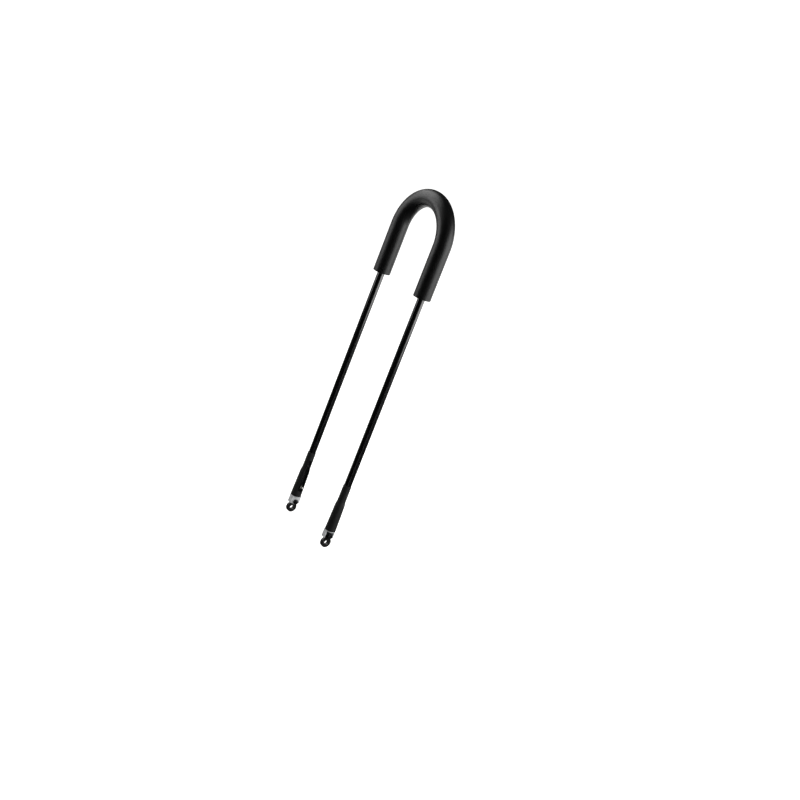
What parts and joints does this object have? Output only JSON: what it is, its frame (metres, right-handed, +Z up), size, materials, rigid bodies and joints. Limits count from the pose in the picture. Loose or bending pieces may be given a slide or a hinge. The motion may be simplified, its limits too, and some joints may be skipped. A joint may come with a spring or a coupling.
{
  "type": "child bike push handle",
  "caption": "Tall U-shaped push handle with a foam grip, telescoping legs with snap buttons, and pivoting feet that fasten to a bicycle's rear wheel axle.",
  "frame": {"origin": "on the wheel axle's centre line, midway between the two axle lugs", "axes": "+X along the axle to the bicycle's left leg, +Y to the rear, the way the handle leans, and +Z up as the handle stands on the bicycle"},
  "size_m": [0.195, 0.3323, 0.7087],
  "materials": {
    "grip_foam": "matte",
    "gloss_black": "gloss",
    "satin_black": "satin",
    "black_nylon": "satin",
    "zinc_plate": "satin",
    "black_oxide": "satin",
    "bright_nickel": "polished",
    "spring_steel": "satin"
  },
  "bodies": {
    "axle_lugs": {"axle_lug_left": "satin_black", "axle_lug_right": "satin_black", "friction_washer_left": "black_nylon", "friction_washer_right": "black_nylon", "bolt_washer_left": "black_oxide", "bolt_washer_right": "black_oxide", "pivot_bolt_left": "black_oxide", "pivot_bolt_right": "black_oxide", "pivot_nut_left": "black_oxide", "pivot_nut_right": "black_oxide"},
    "legs": {"leg_tube_left": "gloss_black", "leg_tube_right": "gloss_black", "guide_bush_left": "black_nylon", "guide_bush_right": "black_nylon", "foot_boot_left": "black_nylon", "foot_boot_right": "black_nylon", "end_fitting_left": "zinc_plate", "end_fitting_right": "zinc_plate"},
    "handle": {"handle_bar": "gloss_black", "grip_foam": "grip_foam", "glide_plug_left": "black_nylon", "glide_plug_right": "black_nylon", "snap_spring_left": "spring_steel", "snap_spring_right": "spring_steel"},
    "button_left": {"snap_button_left": "bright_nickel"},
    "button_right": {"snap_button_right": "bright_nickel"}
  },
  "joints": [
    {"name": "tilt", "type": "hinge", "parent": "axle_lugs", "child": "legs", "pos_m": [0, 0.00651, 0.01462], "axis": [-1, 0, 0], "range_deg": [-17, 17]},
    {"name": "height", "type": "slide", "parent": "legs", "child": "handle", "axis": [0, 0.4067, 0.9135], "range_m": [0, 0.33]},
    {"name": "press_left", "type": "slide", "parent": "handle", "child": "button_left", "axis": [1, 0, 0], "range_m": [0, 0.008], "stiffness_N_per_m": 600, "springref_m": -0.003, "deforming": ["snap_spring_left"]},
    {"name": "press_right", "type": "slide", "parent": "handle", "child": "button_right", "axis": [-1, 0, 0], "range_m": [0, 0.008], "stiffness_N_per_m": 600, "springref_m": -0.003, "deforming": ["snap_spring_right"]}
  ]
}
